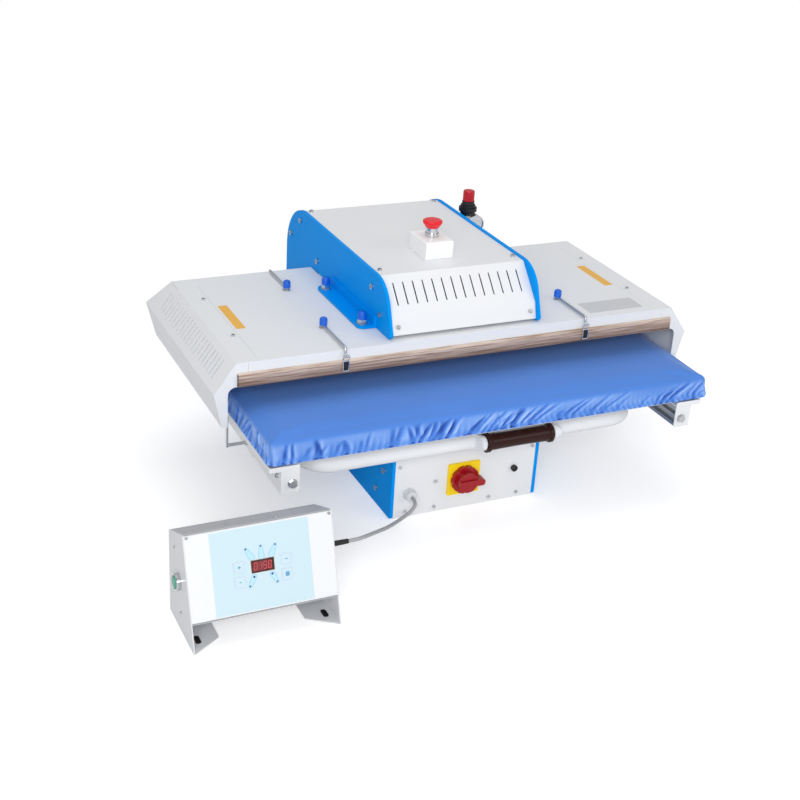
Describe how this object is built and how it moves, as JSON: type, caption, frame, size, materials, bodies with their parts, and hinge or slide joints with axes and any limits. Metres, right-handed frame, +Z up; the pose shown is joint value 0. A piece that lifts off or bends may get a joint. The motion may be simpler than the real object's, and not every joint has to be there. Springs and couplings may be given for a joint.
{
  "type": "flatbed fusing press",
  "caption": "Bench-top pneumatic fusing press with a fixed heated plate under a C-shaped frame, a padded buck on a drawer that pulls forward, and a remote keypad console.",
  "frame": {"origin": "centre of the base's underside, on the table", "axes": "+Z up, -Y towards the operator at the front, +X to the operator's right"},
  "size_m": [1.1288, 0.8696, 0.517],
  "materials": {
    "blue_paint": "satin blue powder coat, about 30 percent gloss",
    "white_paint": "white powder coat with a light orange-peel texture",
    "grey_paint": "light grey powder coat, fine texture",
    "zinc_steel": "bright zinc plated steel",
    "machined_steel": "ground steel, lightly oiled",
    "chrome": "polished chrome plate",
    "bare_aluminium": "extruded aluminium, clear anodised, matt",
    "glass_cloth": "PTFE coated glass cloth, smooth brown",
    "insulation": "needled mineral wool blanket",
    "blue_cotton": "woven blue cotton cover, matt, slightly wrinkled",
    "blue_plastic": "moulded blue plastic cap",
    "red_plastic": "moulded red plastic, glossy",
    "yellow_plastic": "moulded yellow plastic, satin",
    "black_plastic": "moulded black plastic, fine texture",
    "grey_plastic": "moulded grey plastic",
    "brown_rubber": "dark brown moulded grip, semi-gloss",
    "white_plastic": "moulded white plastic",
    "foil": "printed polyester keypad foil, satin",
    "green_plastic": "moulded green button cap",
    "cable_grey": "grey PVC cable sheath, semi-matt",
    "acetal": "white acetal glide"
  },
  "bodies": {
    "frame": {"side_plate_left": "blue_paint", "side_plate_right": "blue_paint", "frame_spacers": "zinc_steel", "base_pan": "white_paint", "base_top_plate": "machined_steel", "lift_cylinder": "bare_aluminium", "electrics_module": "black_plastic", "air_valve": "black_plastic", "upper_cover": "white_paint", "rear_cover": "white_paint", "frame_screws": "zinc_steel", "angle_bracket_left": "blue_paint", "angle_bracket_right": "blue_paint", "head_studs": "zinc_steel", "blue_caps": "blue_plastic", "head_top_panel": "white_paint", "head_side_cover_left": "white_paint", "head_side_cover_right": "white_paint", "head_rear_cover_left": "white_paint", "head_rear_cover_right": "white_paint", "heating_plate": "bare_aluminium", "heating_elements": "machined_steel", "insulation_blanket": "insulation", "release_sheet": "glass_cloth", "sheet_clips": "chrome", "sheet_springs": "zinc_steel", "limit_switch": "black_plastic", "switch_plate": "yellow_plastic", "fuse_holder": "black_plastic", "cable_gland": "grey_plastic", "estop_housing": "white_plastic", "estop_collar": "chrome", "regulator_body": "black_plastic", "regulator_gauge": "chrome", "console_case": "grey_paint", "console_front": "white_paint", "console_membrane": "foil", "console_side_left": "grey_paint", "console_side_right": "grey_paint", "start_ring": "chrome", "console_gland": "black_plastic", "signal_cable": "cable_grey"},
    "lift": {"piston_rod": "machined_steel", "guide_posts": "machined_steel", "lift_frame": "machined_steel", "glide_blocks": "acetal"},
    "drawer": {"drawer_rail_left": "bare_aluminium", "drawer_rail_right": "bare_aluminium", "rail_tabs": "white_paint", "drawer_screws": "zinc_steel", "trip_arm": "zinc_steel", "buck_tray": "white_paint", "buck_pad": "blue_cotton", "bow_tube": "white_paint", "handle_bar": "white_paint", "handle_grip": "brown_rubber"},
    "estop": {"estop_button": "red_plastic"},
    "pressure_knob": {"regulator_knob": "red_plastic"},
    "main_switch": {"switch_knob": "red_plastic"},
    "start": {"start_button": "green_plastic"}
  },
  "joints": [
    {"name": "lift_slide", "type": "slide", "parent": "frame", "child": "lift", "axis": [0, 0, 1], "range_m": [0, 0.04]},
    {"name": "drawer_slide", "type": "slide", "parent": "lift", "child": "drawer", "axis": [0, 1, 0], "range_m": [-0.05, 0.15]},
    {"name": "estop_push", "type": "slide", "parent": "frame", "child": "estop", "axis": [0, 0, -1], "range_m": [0, 0.0045], "stiffness_N_per_m": 1500, "springref_m": -0.002},
    {"name": "pressure_turn", "type": "hinge", "parent": "frame", "child": "pressure_knob", "pos_m": [0.186, 0.133, 0.475], "axis": [0, 0, 1], "range_deg": [0, 270]},
    {"name": "main_switch_turn", "type": "hinge", "parent": "frame", "child": "main_switch", "pos_m": [-0.0065, -0.307, 0.0655], "axis": [0, 1, 0], "range_deg": [-90, 0]},
    {"name": "start_push", "type": "slide", "parent": "frame", "child": "start", "axis": [1, 0, 0], "range_m": [0, 0.003], "stiffness_N_per_m": 1000, "springref_m": -0.0015}
  ]
}
